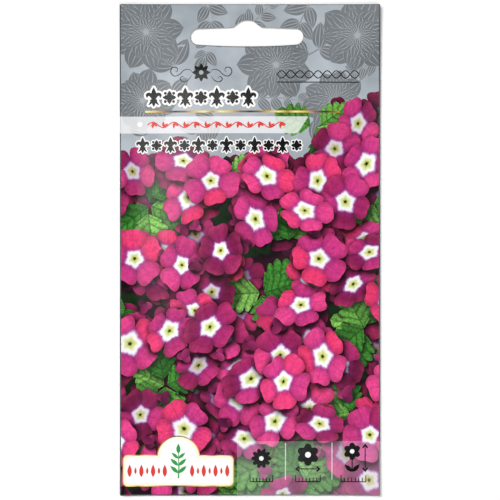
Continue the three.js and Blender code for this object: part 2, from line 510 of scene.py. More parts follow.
def drawVine():
    # a running stem with a pair of leaves at each bend, and a dot before it
    s = marks["vine"]
    lay(ribbon(wavePath(s, 90), s["line"]), "red")
    bends = s["turns"] * 2
    for k in range(int(bends)):
        x = s["left"] + (s["right"] - s["left"]) * ((k + 0.5) / bends)
        up = 1 if k % 2 else -1
        for lean in s["leans"]:
            lay(lancet(0.22, 6), "red", at(x, s["y"] - up * s["wave"] * 0.9, up * (1.1 + lean), s["leaf"]))
    lay(ellipse(s["dotRadius"], count=20), "white", at(*s["dot"]))


def drawArrow(x0, y0, x1, y1, line=0.32, head=1.15):
    # a double arrow
    length = math.hypot(x1 - x0, y1 - y0)
    place = at(x0, y0, math.atan2(y1 - y0, x1 - x0))
    lay(box(head, -line / 2, length - head, line / 2), "black", place)
    chevron = [(0, 0), (head, -head * 0.8), (head * 1.35, -head * 0.55), (head * 0.8, 0),
               (head * 1.35, head * 0.55), (head, head * 0.8)]
    for end, way in ((0, 1), (length, -1)):
        lay([(end + way * x, y) for x, y in chevron], "black", place)


def drawPictograms():
    # sun, spread and height, each over a little ruler
    s = marks["pictograms"]
    sun = at(*s["sun"])
    for k in range(s["rays"]):
        lay(lancet(0.5, 4), "black", at(*s["sun"], k * math.tau / s["rays"]) @ at(1.9, 0, 0, 1.3))
    lay(ellipse(s["sunRadius"]), "black", sun)
    lay(ellipse(0.7, count=16), "white", sun)
    for x, y, radius in s["flowers"]:
        for k in range(6):
            lay(ellipse(0.5, 0.36, 14, 0.5), "black", at(x, y, math.pi / 6 + k * math.tau / 6, radius))
        lay(ellipse(0.26, count=16), "white", at(x, y, 0, radius))
    for ends in s["arrows"]:
        drawArrow(*ends)
    lay(box(*s["stem"]), "black", at(s["stemX"], 0))
    for side in (-1, 1):
        lay(lancet(0.2), "black", at(s["stemX"], s["leafY"], math.pi / 2 - side * 0.8, 3.3))
    for left, right in s["rulers"]:
        lay(box(left, s["rulerBottom"], right, s["rulerTop"]), "black")
        for k in range(s["ticks"] + 1):
            x = left + (right - left) * k / s["ticks"]
            top = s["tickTop"] if k % s["ticks"] else s["endTickTop"]
            lay(box(x - s["tickHalf"], s["tickBottom"], x + s["tickHalf"], top), "black")


def drawPlate():
    # a cream plate with a round medal on its upper edge, a sprig, and a row of plain shapes
    s = marks["plate"]
    middle, level = (s["left"] + s["right"]) / 2, (s["bottom"] + s["top"]) / 2
    for ink, by in (("gold", 0.0), ("cream", s["goldLine"]), ("plateWhite", s["border"])):
        left, bottom, right, top = s["left"] + by, s["bottom"] + by, s["right"] - by, s["top"] - by
        lay(ellipse(s["medal"] - by, count=44), ink, at(middle, s["medalY"]))
        lay(box(left, bottom, right, top, s["corner"] - by * 0.6), ink)
    foot = s["medalY"] - s["sprigDrop"]
    lay(ribbon(s["stem"], s["stemWidths"]), "sprig", at(middle, foot))
    for height, size in s["sprigLeaves"]:
        for side in (-1, 1):
            lay(lancet(0.17), "sprig", at(middle, foot + height, math.pi / 2 - side * 0.85, size))
    height, size = s["sprigTip"]
    lay(lancet(0.20), "sprig", at(middle, foot + height, math.pi / 2, size))
    for side in (-1, 1):
        for k in range(s["shapes"]):
            x = middle + side * (s["shapeStart"] + s["shapePitch"] * k)
            size = s["shapeSize"] * (0.55 if k % 2 else 1)
            lay(lancet(0.17, 9), "red", at(x, level - size / 2, math.pi / 2, size))


def drawRimShade():
    # painted edge shade: a dark line along the sheet's trimmed rims, most at the right, at the foot, and
    # under the slot
    s = marks["rim"]
    lay(box(halfX - s["right"], -halfY - 1, halfX + 1, halfY + 1), "rimShade")
    lay(box(-halfX - 1, -halfY - 1, halfX + 1, -halfY + s["bottom"]), "rimShade")
    lay(box(-halfX - 1, halfY - s["top"], halfX + 1, halfY + 1), "rimShade")
    lay(box(-halfX - 1, -halfY - 1, -halfX + s["left"], halfY + 1), "rimShade")
    lower = sorted((p for p in slotOutline() if p[1] < halfY - slot["endDrop"]), key=lambda p: p[0])
    count = len(lower)
    widths = [2 * s["slot"] * math.sin(math.pi * (k + 0.5) / count) ** 0.5 for k in range(count)]
    lay(ribbon(lower, widths), "rimShade")


def drawMarks():
    drawRimShade()
    s = marks["rule"]
    lay(box(s["left"], s["bottom"], s["right"], s["top"]), "gold")
    s = marks["title"]
    drawRow(s, s["bottom"])
    drawCrest()
    drawMakerPlace()
    s = marks["banner"]
    left, low, high = -halfX - 1, s["bottom"], s["top"]
    layFilm([(left, low), (s["rightBottom"], low), (s["rightTop"], high), (left, high)], s["strength"])
    drawVine()
    s = marks["name"]
    drawRow(s, s["y"] - s["size"] / 2)
    drawPlate()
    s = marks["strip"]
    layFilm(box(s["left"], -halfY - 1, halfX + 1, s["top"]), s["strength"])
    for x in s["dividers"]:
        layFilm(box(x - s["divider"] / 2, s["dividerBottom"], x + s["divider"] / 2, s["dividerTop"]),
                s["dividerStrength"])
    drawPictograms()


# from the drawing to a closed sheet of paper, still flat
shaded = ("petal", "bud", "leaf", "gap")  # inks that show the soft shadows
bakeMap = {
    "printed": (0.08, 0.915), "plain": (0.03, 0.04), "walls": (0.002, 0.024),  # level and height
    "side": 0.003, "columns": 250, "fill": 0.9, "gap": 0.05,  # a margin, and the cells of the cut edges
}


def gridPoints(step):
    columns, rows = int(packet["width"] / step), int(packet["height"] / step)
    return [(-halfX + packet["width"] * i / columns, -halfY + packet["height"] * j / rows)
            for i in range(1, columns) for j in range(1, rows)]


def anticlockwise(ring):
    ring = np.array(ring, float)
    after = np.roll(ring, -1, axis=0)
    return ring if (ring[:, 0] * after[:, 1] - after[:, 0] * ring[:, 1]).sum() > 0 else ring[::-1]


def windings(ring, points):
    # how many times a closed ring goes round each point: 0 is outside
    after = np.roll(ring, -1, axis=0)
    x0, y0, x1, y1 = ring[:, 0], ring[:, 1], after[:, 0], after[:, 1]
    px, py = points[:, :1], points[:, 1:]
    side = (x1 - x0) * (py - y0) - (px - x0) * (y1 - y0)
    return ((y0 <= py) & (y1 > py) & (side > 0)).sum(1) - ((y0 > py) & (y1 <= py) & (side < 0)).sum(1)


def evenly(ring, step):
    # the ring with more points on its long sides, so that it can bend with the paper
    points = []
    for start, end in zip(ring, np.roll(ring, -1, axis=0)):
        parts = max(1, math.ceil(np.linalg.norm(end - start) / step))
        points += [start + (end - start) * k / parts for k in range(parts)]
    return np.array(points)


def triangulate(points, edges, step, weld, sheetRings):
    # the triangles of the sheet, without those outside its rim or in its slot, sorted upwards
    everything = [Vector(p) for p in points] + [Vector(p) for p in gridPoints(step)]
    spots, _, triangles, origins, _, _ = delaunay_2d_cdt(everything, edges, [], 0, weld, True)
    spots, triangles = np.array(spots, float), np.array(triangles)
    middles = spots[triangles].mean(axis=1)
    held = windings(sheetRings[0], middles) != 0
    held[held] = windings(sheetRings[1], middles[held]) == 0
    triangles, middles = triangles[held], middles[held]
    rising = np.argsort(middles[:, 1], kind="stable")
    triangles, middles = triangles[rising], middles[rising]
    used, triangles = np.unique(triangles, return_inverse=True)
    triangles = triangles.reshape(-1, 3)
    return spots[used], triangles, [origins[k] for k in used], middles


def ringEdges(rings):
    points, edges = [], []
    for ring in rings:
        first = len(points)
        edges += [(first + k, first + (k + 1) % len(ring)) for k in range(len(ring))]
        points.extend(ring)
    return points, edges


def holdersOf(middles, rings):
    # for each triangle, the numbers of the rings that hold its middle
    holders = [[] for _ in middles]
    for number, ring in enumerate(rings):
        (left, bottom), (right, top) = ring.min(axis=0), ring.max(axis=0)
        first, last = np.searchsorted(middles[:, 1], (bottom, top))
        near = first + np.flatnonzero((middles[first:last, 0] > left) & (middles[first:last, 0] < right))
        for k in near[windings(ring, middles[near]) != 0]:
            holders[k].append(number)
    return holders


def edgesOf(corners):
    return zip(corners, corners[1:] + corners[:1])


def rimLoops(triangles):
    # the sheet's open edges, chained into loops that keep the sheet on their left
    inner = {(b, a) for corners in triangles for a, b in edgesOf(corners)}
    follows = {a: b for corners in triangles for a, b in edgesOf(corners) if (a, b) not in inner}
    loops = []
    while follows:
        loop, now = [], next(iter(follows))
        while now in follows:
            loop.append(now)
            now = follows.pop(now)
        loops.append(loop)
    return loops


def distancesTo(ring, points):
    # from each point to the nearest side of a closed ring, and 0 inside it
    side = np.roll(ring, -1, axis=0) - ring
    offset = points[:, None, :] - ring[None]
    along = np.clip((offset * side).sum(2) / np.maximum((side ** 2).sum(1), 1e-12), 0, 1)
    gaps = np.linalg.norm(offset - along[..., None] * side, axis=2).min(axis=1)
    return np.where(windings(ring, points) != 0, 0, gaps)


def looksOf(held, printed):
    # what can be seen of a place: its topmost motif, the film over it, and the soft shadows on it
    top = max((h for h in held if printed[h]["kind"] == "ink"), default=-1)
    over = [h for h in held if h > top]
    film = max([printed[h]["strength"] for h in over if printed[h]["kind"] == "film"], default=0)
    isShaded = top >= 0 and printed[top]["ink"] in shaded
    return top, film, tuple(h for h in over if isShaded and printed[h]["kind"] == "shade")


def flattenPrint(printed):
    # flattened twice: the second time only with the lines at which something changes
    rim = np.array(box(-halfX, -halfY, halfX, halfY, packet["corner"], 4))
    step = packet["meshStep"]
    sheetRings = [evenly(rim, step), slotOutline()]
    rings = [part["outline"] for part in printed]
    points, edges = ringEdges(sheetRings + [evenly(ring, step) for ring in rings])
    for isLast in (False, True):
        spots, triangles, _, middles = triangulate(points, edges, step, packet["weld"], sheetRings)
        looks = [looksOf(held, printed) for held in holdersOf(middles, rings)]
        if not isLast:
            seen = {}
            for corners, look in zip(triangles.tolist(), looks):
                for edge in edgesOf(corners):
                    seen.setdefault(frozenset(edge), []).append(look)
            lines = [tuple(edge) for edge, sides in seen.items()
                     if len(sides) == 1 or sides[0] != sides[1]]
            used, ends = np.unique(np.array(lines), return_inverse=True)
            points, edges = spots[used], [tuple(pair) for pair in ends.reshape(-1, 2).tolist()]
    return spots, triangles.tolist(), looks


def addObject(name, data):
    made = bpy.data.objects.new(name, data)
    bpy.context.scene.collection.objects.link(made)
    return made


def makeFlatSheet(name, printed, turned=False):
    # printed on its upper side, or on its under side if turned
    spots, triangles, looks = flattenPrint(printed)
    loops = rimLoops(triangles)
    wide = max(loops, key=lambda loop: np.ptp(spots[loop][:, 0]))
    loops = [wide] + [loop for loop in loops if loop is not wide]
    under = [spots[loop] for loop in loops]
    points, edges = ringEdges(under)
    backSpots, backTriangles, origins, _ = triangulate(points, edges, packet["meshStep"] * 2, 1e-6, under)
    flatRim = [v for loop in loops for v in loop]  # in the order that the underside's rings were given
    rimOf = {}
    for k, sources in enumerate(origins):
        for source in sources:
            if source < len(flatRim):
                rimOf[flatRim[source]] = k
    count = len(spots)
    corners = [(x, y, packet["paper"]) for x, y in spots] + [(x, y, 0.0) for x, y in backSpots]
    faces = [tuple(t) for t in triangles]
    faces += [tuple(count + v for v in reversed(t)) for t in backTriangles.tolist()]
    faces += [(count + rimOf[a], count + rimOf[b], b, a) for loop in loops for a, b in edgesOf(loop)]
    if turned:
        corners = [(x, y, packet["paper"] - z) for x, y, z in corners]
        faces = [face[::-1] for face in faces]
    mesh = bpy.data.meshes.new(name)
    mesh.from_pydata((np.array(corners) * mm).tolist(), [], faces)
    paintSheet(mesh, spots, looks, printed, len(flatRim))
    layBakeMap(mesh, len(flatRim))
    print("flat sheet", name, "has", len(mesh.polygons), "faces")
    return addObject(name, mesh)


def readAll(items, name, width=1, kind=int):
    values = np.zeros(len(items) * width, kind)
    items.foreach_get(name, values)
    return values


def layBakeMap(mesh, wallCount):
    # the printed side fills most of the square; the plain side and the cut edges share a strip under it
    s = bakeMap
    total = readAll(mesh.polygons, "loop_total")
    spot = readAll(mesh.vertices, "co", 3, float).reshape(-1, 3)[readAll(mesh.loops, "vertex_index")] / mm
    u, v = spot[:, 0] / packet["width"] + 0.5, spot[:, 1] / packet["height"] + 0.5
    face = np.repeat(np.arange(len(total)), total)
    isWall = face >= len(total) - wallCount
    isPlain = ~isWall & (np.abs(spot[:, 2] - spot[0, 2]) > 0.01)
    (printedAt, printedTall), (plainAt, plainTall) = s["printed"], s["plain"]
    v = np.where(isPlain, plainAt + plainTall * v, printedAt + printedTall * v)
    wallsAt, wallsTall = s["walls"]
    order = (face - (len(total) - wallCount))[isWall]
    across, up = np.tile([0, 1, 1, 0], wallCount), np.tile([0, 0, 1, 1], wallCount)
    rows = wallCount // s["columns"] + 1
    u[isWall] = (order % s["columns"] + across * s["fill"] + s["gap"]) / s["columns"]
    v[isWall] = wallsAt + (order // s["columns"] + up * s["fill"] + s["gap"]) * wallsTall / rows
    layer = mesh.uv_layers.new(name="OFBake")
    layer.data.foreach_set("uv", np.column_stack([s["side"] + u * (1 - 2 * s["side"]), v]).ravel())


def paintSheet(mesh, spots, looks, printed, wallCount):
    # each corner of a printed triangle gets its place in the topmost motif, and its shade
    faceCount, cornerCount = len(mesh.polygons), len(mesh.loops)
    ink = np.zeros(faceCount, int)
    ink[faceCount - wallCount:] = inks.index("cutEdge")
    tone = np.full(faceCount, 0.5)
    depth, film, seed = (np.zeros(faceCount) for _ in range(3))
    starts, cornerSpot = readAll(mesh.polygons, "loop_start"), readAll(mesh.loops, "vertex_index")

    def cornersOf(members):
        corners = (starts[np.array(members)][:, None] + np.arange(3)).ravel()
        return corners, spots[cornerSpot[corners]]

    byMotif, byShade = {}, {}
    for k, (top, veil, shades) in enumerate(looks):
        film[k] = veil
        byMotif.setdefault(top, []).append(k)
        for h in shades:
            byShade.setdefault(h, []).append(k)
    ground = {"ink": "header", "place": at(), "bloom": at(), "tone": 0.5, "depth": 0, "seed": 0}
    spotAt, bloomAt = np.zeros((cornerCount, 3)), np.zeros((cornerCount, 3))
    for top, members in byMotif.items():
        motif = printed[top] if top >= 0 else ground
        ink[members] = inks.index(motif["ink"])
        tone[members], depth[members], seed[members] = motif["tone"], motif["depth"], motif["seed"]
        corners, points = cornersOf(members)
        for goal, place in ((spotAt, motif["place"]), (bloomAt, motif["bloom"])):
            goal[corners, :2] = placed(points, np.linalg.inv(place))
    clear = np.ones(cornerCount)
    for h, members in byShade.items():
        corners, points = cornersOf(members)
        here = np.clip(1 - distancesTo(printed[h]["core"], points) / printed[h]["reach"], 0, 1)
        clear[corners] = np.minimum(clear[corners], 1 - here)
    for label, kind, domain, values in (
            ("ink", "INT", "FACE", ink), ("tone", "FLOAT", "FACE", tone),
            ("depth", "FLOAT", "FACE", depth), ("film", "FLOAT", "FACE", film),
            ("seed", "FLOAT", "FACE", seed), ("shade", "FLOAT", "CORNER", 1 - clear),
            ("spot", "FLOAT_VECTOR", "CORNER", spotAt), ("bloom", "FLOAT_VECTOR", "CORNER", bloomAt)):
        layer = mesh.attributes.new(label, kind, domain)
        layer.data.foreach_set("vector" if kind == "FLOAT_VECTOR" else "value", values.ravel())


class Wire:
    # a node's output that can stand in a sum: each operator adds a maths node for it
    def __init__(self, socket):
        self.socket = socket
        self.tree = socket.id_data

    def __add__(self, other):
        return maths("ADD", self, other)

    def __sub__(self, other):
        return maths("SUBTRACT", self, other)

    def __rsub__(self, other):
        return maths("SUBTRACT", other, self)

    def __mul__(self, other):
        return maths("MULTIPLY", self, other)

    def __truediv__(self, other):
        return maths("DIVIDE", self, other)

    def __pow__(self, power):
        return maths("POWER", self, power)

    def __abs__(self):
        return maths("ABSOLUTE", self)


def addNode(tree, kind, inputs=None, **settings):
    node = tree.nodes.new(kind)
    for name, value in settings.items():
        setattr(node, name, value)
    for key, value in (inputs or {}).items():
        if isinstance(value, Wire):
            tree.links.new(value.socket, node.inputs[key])
        else:
            node.inputs[key].default_value = value
    return node


def wire(tree, kind, inputs=None, output=0, **settings):
    return Wire(addNode(tree, kind, inputs, **settings).outputs[output])


def maths(operation, *values, clamp=False):
    tree = next(value.tree for value in values if isinstance(value, Wire))
    return wire(tree, "ShaderNodeMath", dict(enumerate(values)), operation=operation, use_clamp=clamp)


def mapped(value, start, end, low, high):
    return wire(value.tree, "ShaderNodeMapRange", {0: value, 1: start, 2: end, 3: low, 4: high})


def together(tree, x=0.0, y=0.0, z=0.0):
    return wire(tree, "ShaderNodeCombineXYZ", {0: x, 1: y, 2: z})


def apart(place):
    return [Wire(socket) for socket in addNode(place.tree, "ShaderNodeSeparateXYZ", {0: place}).outputs]


def moved(place, by):
    return wire(place.tree, "ShaderNodeVectorMath", {0: place, 1: by}, operation="ADD")


def scaled(tint, amount):
    return wire(tint.tree, "ShaderNodeVectorMath", {0: tint, "Scale": amount}, operation="SCALE")


def noiseOf(place, scale, detail=2.0):
    return wire(place.tree, "ShaderNodeTexNoise", {"Vector": place, "Scale": scale, "Detail": detail})


def newTree(name, sizes):
    # a geometry tree with an input for each size
    tree = bpy.data.node_groups.new(name, "GeometryNodeTree")
    for way in ("INPUT", "OUTPUT"):
        tree.interface.new_socket("Geometry", in_out=way, socket_type="NodeSocketGeometry")
    for label, value in sizes.items():
        socket = tree.interface.new_socket(label, in_out="INPUT", socket_type="NodeSocketFloat")
        socket.default_value = value
    given = addNode(tree, "NodeGroupInput").outputs
    return tree, {label: Wire(given[label]) for label in ("Geometry", *sizes)}


def runTree(piece, makeTree, sizes):
    # the tree's result takes the place of the piece's mesh
    tree = makeTree(sizes)
    modifier = piece.modifiers.new(tree.name, "NODES")
    modifier.node_group = tree
    sockets = {item.name: item.identifier for item in tree.interface.items_tree if item.in_out == "INPUT"}
    for label, value in sizes.items():
        modifier[sockets[label]] = value
    made = bpy.data.meshes.new_from_object(piece.evaluated_get(bpy.context.evaluated_depsgraph_get()))
    piece.modifiers.remove(modifier)
    old = piece.data
    piece.data = made
    made.name = old.name
    bpy.data.meshes.remove(old)


def shapeSizes(belly, raised):
    p = packet
    lengths = {
        "Belly": belly, "Raise": raised, "Pouch Half Width": p["pouchHalfWidth"],
        "Pouch Top": p["pouchTop"], "Pouch Bottom": p["pouchBottom"],
        "Half Width": halfX, "Half Height": halfY,
        "Flat Half Width": p["flatHalfWidth"], "Flat Top": p["flatTop"], "Flat Bottom": p["flatBottom"],
        "Side Lift": p["sideLift"], "Top Lift": p["topLift"], "Bottom Lift": p["bottomLift"],
    }
    shares = {"Dents": p["dents"], "Dent Scale": p["dentScale"], "Rim Waves": p["rimWaves"]}
    return {label: length * mm for label, length in lengths.items()} | shares


def cushionTree(sizes):
    # a low cushion over the pouch, flat seals, and rims that curl up a little
    tree, size = newTree("cushion", sizes)
    place = wire(tree, "GeometryNodeInputPosition")
    x, y, _ = apart(place)
    aside = abs(x)

    def lift(value, start, end, height):
        part = mapped(value, start, end, 0.0, 1.0)
        return part * part * height

    def uneven(amount, seed):
        # 1 on the average, more and less by the amount
        noise = noiseOf(moved(place, (seed, 0, 0)), size["Dent Scale"], 1.0)
        return (noise - 0.5) * amount + 1.0

    rise = lift(aside, size["Flat Half Width"], size["Half Width"], size["Side Lift"])
    rise += lift(y, size["Flat Top"], size["Half Height"], size["Top Lift"])
    rise += lift(y, size["Flat Bottom"], size["Half Height"] * -1.0, size["Bottom Lift"])
    rise *= uneven(size["Rim Waves"], 3.0)
    across = maths("DIVIDE", aside, size["Pouch Half Width"], clamp=True)
    middle = (size["Pouch Top"] + size["Pouch Bottom"]) * 0.5
    half = (size["Pouch Top"] - size["Pouch Bottom"]) * 0.5
    along = maths("DIVIDE", abs(y - middle), half, clamp=True)
    dome = (1.0 - across ** 2.0) * (1.0 - along ** 4.0) * uneven(size["Dents"], 0.0)
    rise = rise + dome * size["Belly"] + size["Raise"]
    offset = together(tree, z=rise)
    shape = wire(tree, "GeometryNodeSetPosition", {"Geometry": size["Geometry"], "Offset": offset})
    shape = wire(tree, "GeometryNodeRealizeInstances", {0: shape})
    number = wire(tree, "GeometryNodeInputNamedAttribute", {"Name": "ink"}, data_type="INT")
    shape = wire(tree, "GeometryNodeSetMaterial", {"Geometry": shape, "Material": inkMaterials["paper"]})
    for k, ink in enumerate(inks[1:], start=1):
        chosen = wire(tree, "FunctionNodeCompare", {2: number, 3: k}, data_type="INT", operation="EQUAL")
        given = {"Geometry": shape, "Selection": chosen, "Material": inkMaterials[ink]}
        shape = wire(tree, "GeometryNodeSetMaterial", given)
    addNode(tree, "NodeGroupOutput", {0: shape})
    return tree


# a fade's four numbers are where it starts and ends, and its levels there
laminate = {
    "roughness": 0.22, "paperRoughness": 0.7, "specular": 0.38, "coat": 0.04, "coatRoughness": 0.22,
    "inkScale": 60.0, "grainScale": 5200.0, "grainFade": (0.2, 0.8, 0.95, 1.05),
    "grainBump": (0.05, 0.00002),  # strength and distance
    "waveScale": 140.0, "waveBump": (0.25, 0.00012), "waveRange": (0.25, 0.75), "waveGloss": (-0.05, 0.06),
    "film": (0.945, 0.94, 0.95, 1.0), "filmGamma": 2.2,  # a pale film, mixed in as the eye sees it
}
petalInk = {  # the eye's colours go outwards from the middle, the body's from dark to light
    "eye": ((0.0, "1E2A14"), (0.04, "3A4A20"), (0.06, "8C9A44"), (0.10, "CFD97C"), (0.18, "E6EAB0"),
            (0.23, "FDFDF6"), (0.31, "FDFAFF"), (0.36, "D2B2E0"), (0.43, "A6489C")),
    "body": ((0.0, "6A123E"), (0.3, "A62664"), (0.55, "D03A86"), (0.8, "E8468C"), (1.0, "EE3C72")),
    "nearStar": "8E2A78", "tip": "EA4C86", "deepEye": "B888C8", "deep": "641640", "shade": "300820",
    "nearFade": (0.36, 0.66, 0.65, 0.0), "tipFade": (0.7, 1.0, 0.0, 0.28),
    "eyeFade": (0.15, 0.6, 0.0, 0.75), "deepShare": 0.85, "shadeShare": 0.97, "shadeCurve": 1.1,
    "starCut": 0.40, "starFuzz": 0.10, "starGrowth": (-1.0, 1.0, 1.12, 1.42),
    "starEdge": (0.34, 0.44, 0.0, 1.0),
    "fuzzScale": 9.0, "velvetFade": (0.32, 0.68, 0.84, 1.16),
    "veinStretch": (3.0, 34.0, 1.0), "veinFade": (0.25, 0.75, 0.86, 1.10),
    "foldFade": (0.45, 1.0, 1.06, 0.62), "creaseFade": (0.0, 0.05, 0.86, 1.0), "endLimit": 0.97,
}
leafInk = {
    "body": ((0.0, "205C1C"), (0.5, "489234"), (1.0, "86C45A")),
    "vein": "123E12", "deep": "0B2A12", "shade": "07180C", "veinShare": 0.62, "shadeShare": 0.85,
    "veinFade": (0.02, 0.10, 1.0, 0.0), "ribFade": (0.008, 0.022, 1.0, 0.0),
    "swellFade": (0.05, 0.4, 0.78, 1.12),
    "warpScale": 5.0, "warp": 0.7, "quiltScale": 17.0, "quiltFade": (0.35, 0.65, 0.66, 1.30),
    "foldFade": (-0.02, 0.02, 0.74, 1.10),
}
budInk = {
    "body": ((0.0, "5E1240"), (0.5, "8E2058"), (1.0, "B83A78")), "roundFade": (-0.5, 0.5, 0.55, 1.25),
    "deep": "2A0A20", "shade": "1E0818", "deepShare": 0.6, "shadeShare": 0.8,
}
gapInk = {"scale": 130.0, "body": ((0.3, "050C06"), (0.45, "10280E"), (0.55, "14040E"), (0.7, "30081E"))}
goldInk = {
    "band": 23.0,  # millimetres from dark to dark
    "body": ((0.0, "3E3020"), (0.25, "8A6428"), (0.5, "DDAE48"), (0.78, "F6E28E"), (1.0, "B98632")),
}
engraving = {
    "line": 0.10, "softLine": 0.15, "veinStrength": 0.75, "tipFade": (0.72, 0.9, 1.0, 0.35),
    "pale": "A8AEB2", "ground": ("686D71", "777C81"),
}


def colour(code):
    parts = [int(code[k:k + 2], 16) / 255 for k in (0, 2, 4)]
    return tuple(p / 12.92 if p <= 0.04045 else ((p + 0.055) / 1.055) ** 2.4 for p in parts) + (1.0,)


def attribute(tree, name, output="Fac"):
    return wire(tree, "ShaderNodeAttribute", output=output, attribute_name=name)


def spotOf(tree):
    # the place in a motif, along it and across it
    return apart(attribute(tree, "spot", "Vector"))[:2]


def blend(amount, first, second, mode="MIX"):
    inputs = {0: amount, 6: first, 7: colour(second) if isinstance(second, str) else second}
    return wire(first.tree, "ShaderNodeMix", inputs, 2, data_type="RGBA", blend_type=mode)


def stained(tint, code):
    return blend(1.0, tint, code, "MULTIPLY")


def ramp(value, stops):
    node = addNode(value.tree, "ShaderNodeValToRGB", {0: value})
    bar = node.color_ramp.elements
    bar.remove(bar[1])
    bar[0].position, bar[0].color = stops[0][0], colour(stops[0][1])
    for position, code in stops[1:]:
        bar.new(position).color = colour(code)
    return Wire(node.outputs[0])


def bumpOf(height, strength, distance, under=None):
    inputs = {"Height": height, "Strength": strength, "Distance": distance}
    return wire(height.tree, "ShaderNodeBump", inputs | ({"Normal": under} if under else {}))


def newMaterial(name):
    material = bpy.data.materials.new(name)
    material.use_nodes = True
    tree = material.node_tree
    tree.nodes.clear()
    return material, tree, wire(tree, "ShaderNodeTexCoord", output="Object")


def endMaterial(tree, inputs):
    addNode(tree, "ShaderNodeOutputMaterial", {0: wire(tree, "ShaderNodeBsdfPrincipled", inputs)})


def makeInk(name, paint, rough):
    s = laminate
    material, tree, place = newMaterial(name)
    tint = wire(tree, "ShaderNodeGamma", {0: paint(place), 1: 1 / s["filmGamma"]})
    tint = blend(attribute(tree, "film"), tint, s["film"])
    tint = wire(tree, "ShaderNodeGamma", {0: tint, 1: s["filmGamma"]})
    grain = noiseOf(place, s["grainScale"], 1.0)
    tint = scaled(tint, mapped(grain, *s["grainFade"]))
    waves = noiseOf(place, s["waveScale"], 3.0)
    gloss = mapped(waves, *s["waveRange"], *(rough + more for more in s["waveGloss"]))
    bumps = bumpOf(waves, *s["waveBump"], bumpOf(grain, *s["grainBump"]))
    endMaterial(tree, {
        "Base Color": tint, "Roughness": gloss, "Normal": bumps, "Specular IOR Level": s["specular"],
        "Coat Weight": s["coat"], "Coat Roughness": s["coatRoughness"]})
    return material


def petalRelief(x, aside):
    # how light a petal is across its width: fuller in the middle, darker where it folds under at the sides
    s = blossom
    turned = ((1 + s["base"]) / 2 - x) * (2 / (1 - s["base"]))
    limit = petalInk["endLimit"]  # the petal's ends, where it has no width, stay out of the division
    turned = maths("MINIMUM", maths("MAXIMUM", turned, -limit), limit)
    half = maths("SQRT", 1.0 - turned * turned) * (s["waist"] - turned * s["bulge"])
    fold = mapped(aside / (half * s["halfWidth"]), *petalInk["foldFade"])
    return fold * mapped(aside, *petalInk["creaseFade"])


def petalPaint(place):
    s, tree = petalInk, place.tree
    spot, bloom = attribute(tree, "spot", "Vector"), attribute(tree, "bloom", "Vector")
    seed, tone, depth, shade = (attribute(tree, name) for name in ("seed", "tone", "depth", "shade"))
    x, y, _ = apart(spot)
    aside = abs(y)
    away = wire(tree, "ShaderNodeVectorMath", {0: bloom}, "Value", operation="LENGTH")
    shift = together(tree, z=seed)
    fuzz = noiseOf(moved(bloom, shift), s["fuzzScale"], 3.0)
    growth = mapped(maths("SINE", seed), *s["starGrowth"])
    star = (away - aside * s["starCut"]) * growth + (fuzz - 0.5) * s["starFuzz"]
    body = ramp(tone, s["body"])
    body = blend(mapped(star, *s["nearFade"]), body, s["nearStar"])
    body = blend(mapped(away, *s["tipFade"]), body, s["tip"])
    streak = wire(tree, "ShaderNodeVectorMath", {0: spot, 1: s["veinStretch"]}, operation="MULTIPLY")
    veins = noiseOf(moved(streak, shift), 1.0)
    body = scaled(body, mapped(veins, *s["veinFade"]))
    body = scaled(body, petalRelief(x, aside))
    body = scaled(body, mapped(fuzz, *s["velvetFade"]))
    eye = ramp(star, s["eye"])
    eye = blend(mapped(depth, *s["eyeFade"]), eye, stained(eye, s["deepEye"]))
    tint = blend(mapped(star, *s["starEdge"]), eye, body)
    tint = blend(depth * s["deepShare"], tint, stained(tint, s["deep"]))
    return blend(shade ** s["shadeCurve"] * s["shadeShare"], tint, stained(tint, s["shade"]))


def leafPaint(place):
    # veins bend from the midrib to the tips of the lobes, over a quilted blade folded along its midrib
    s, tree = leafInk, place.tree
    x, y = spotOf(tree)
    bloom = attribute(tree, "bloom", "Vector")
    aside = abs(y)
    along = wire(tree, "ShaderNodeClamp", {0: x, 1: 0.01, 2: 0.99})
    half = maths("SINE", along ** leaf["fullness"][0] * math.pi) ** leaf["fullness"][1] * leaf["halfWidth"]
    warp = (noiseOf(bloom, s["warpScale"]) - 0.5) * s["warp"]
    wave = maths("PINGPONG", x * leaf["lobes"] - aside / half * leaf["veinLean"] + warp, 0.5)
    vein = maths("MAXIMUM", mapped(wave, *s["veinFade"]), mapped(aside, *s["ribFade"]))
    quilt = mapped(noiseOf(bloom, s["quiltScale"]), *s["quiltFade"])
    level = mapped(wave, *s["swellFade"]) * quilt * mapped(y, *s["foldFade"])
    tint = scaled(ramp(attribute(tree, "tone"), s["body"]), level)
    tint = blend(vein * s["veinShare"], tint, s["vein"])
    tint = blend(attribute(tree, "depth"), tint, s["deep"])
    return blend(attribute(tree, "shade") * s["shadeShare"], tint, s["shade"])


def budPaint(place):
    s, tree = budInk, place.tree
    y = spotOf(tree)[1]
    tint = scaled(ramp(attribute(tree, "tone"), s["body"]), mapped(y, *s["roundFade"]))
    tint = blend(attribute(tree, "depth") * s["deepShare"], tint, s["deep"])
    return blend(attribute(tree, "shade") * s["shadeShare"], tint, s["shade"])


def gapPaint(place):
    return ramp(noiseOf(place, gapInk["scale"]), gapInk["body"])


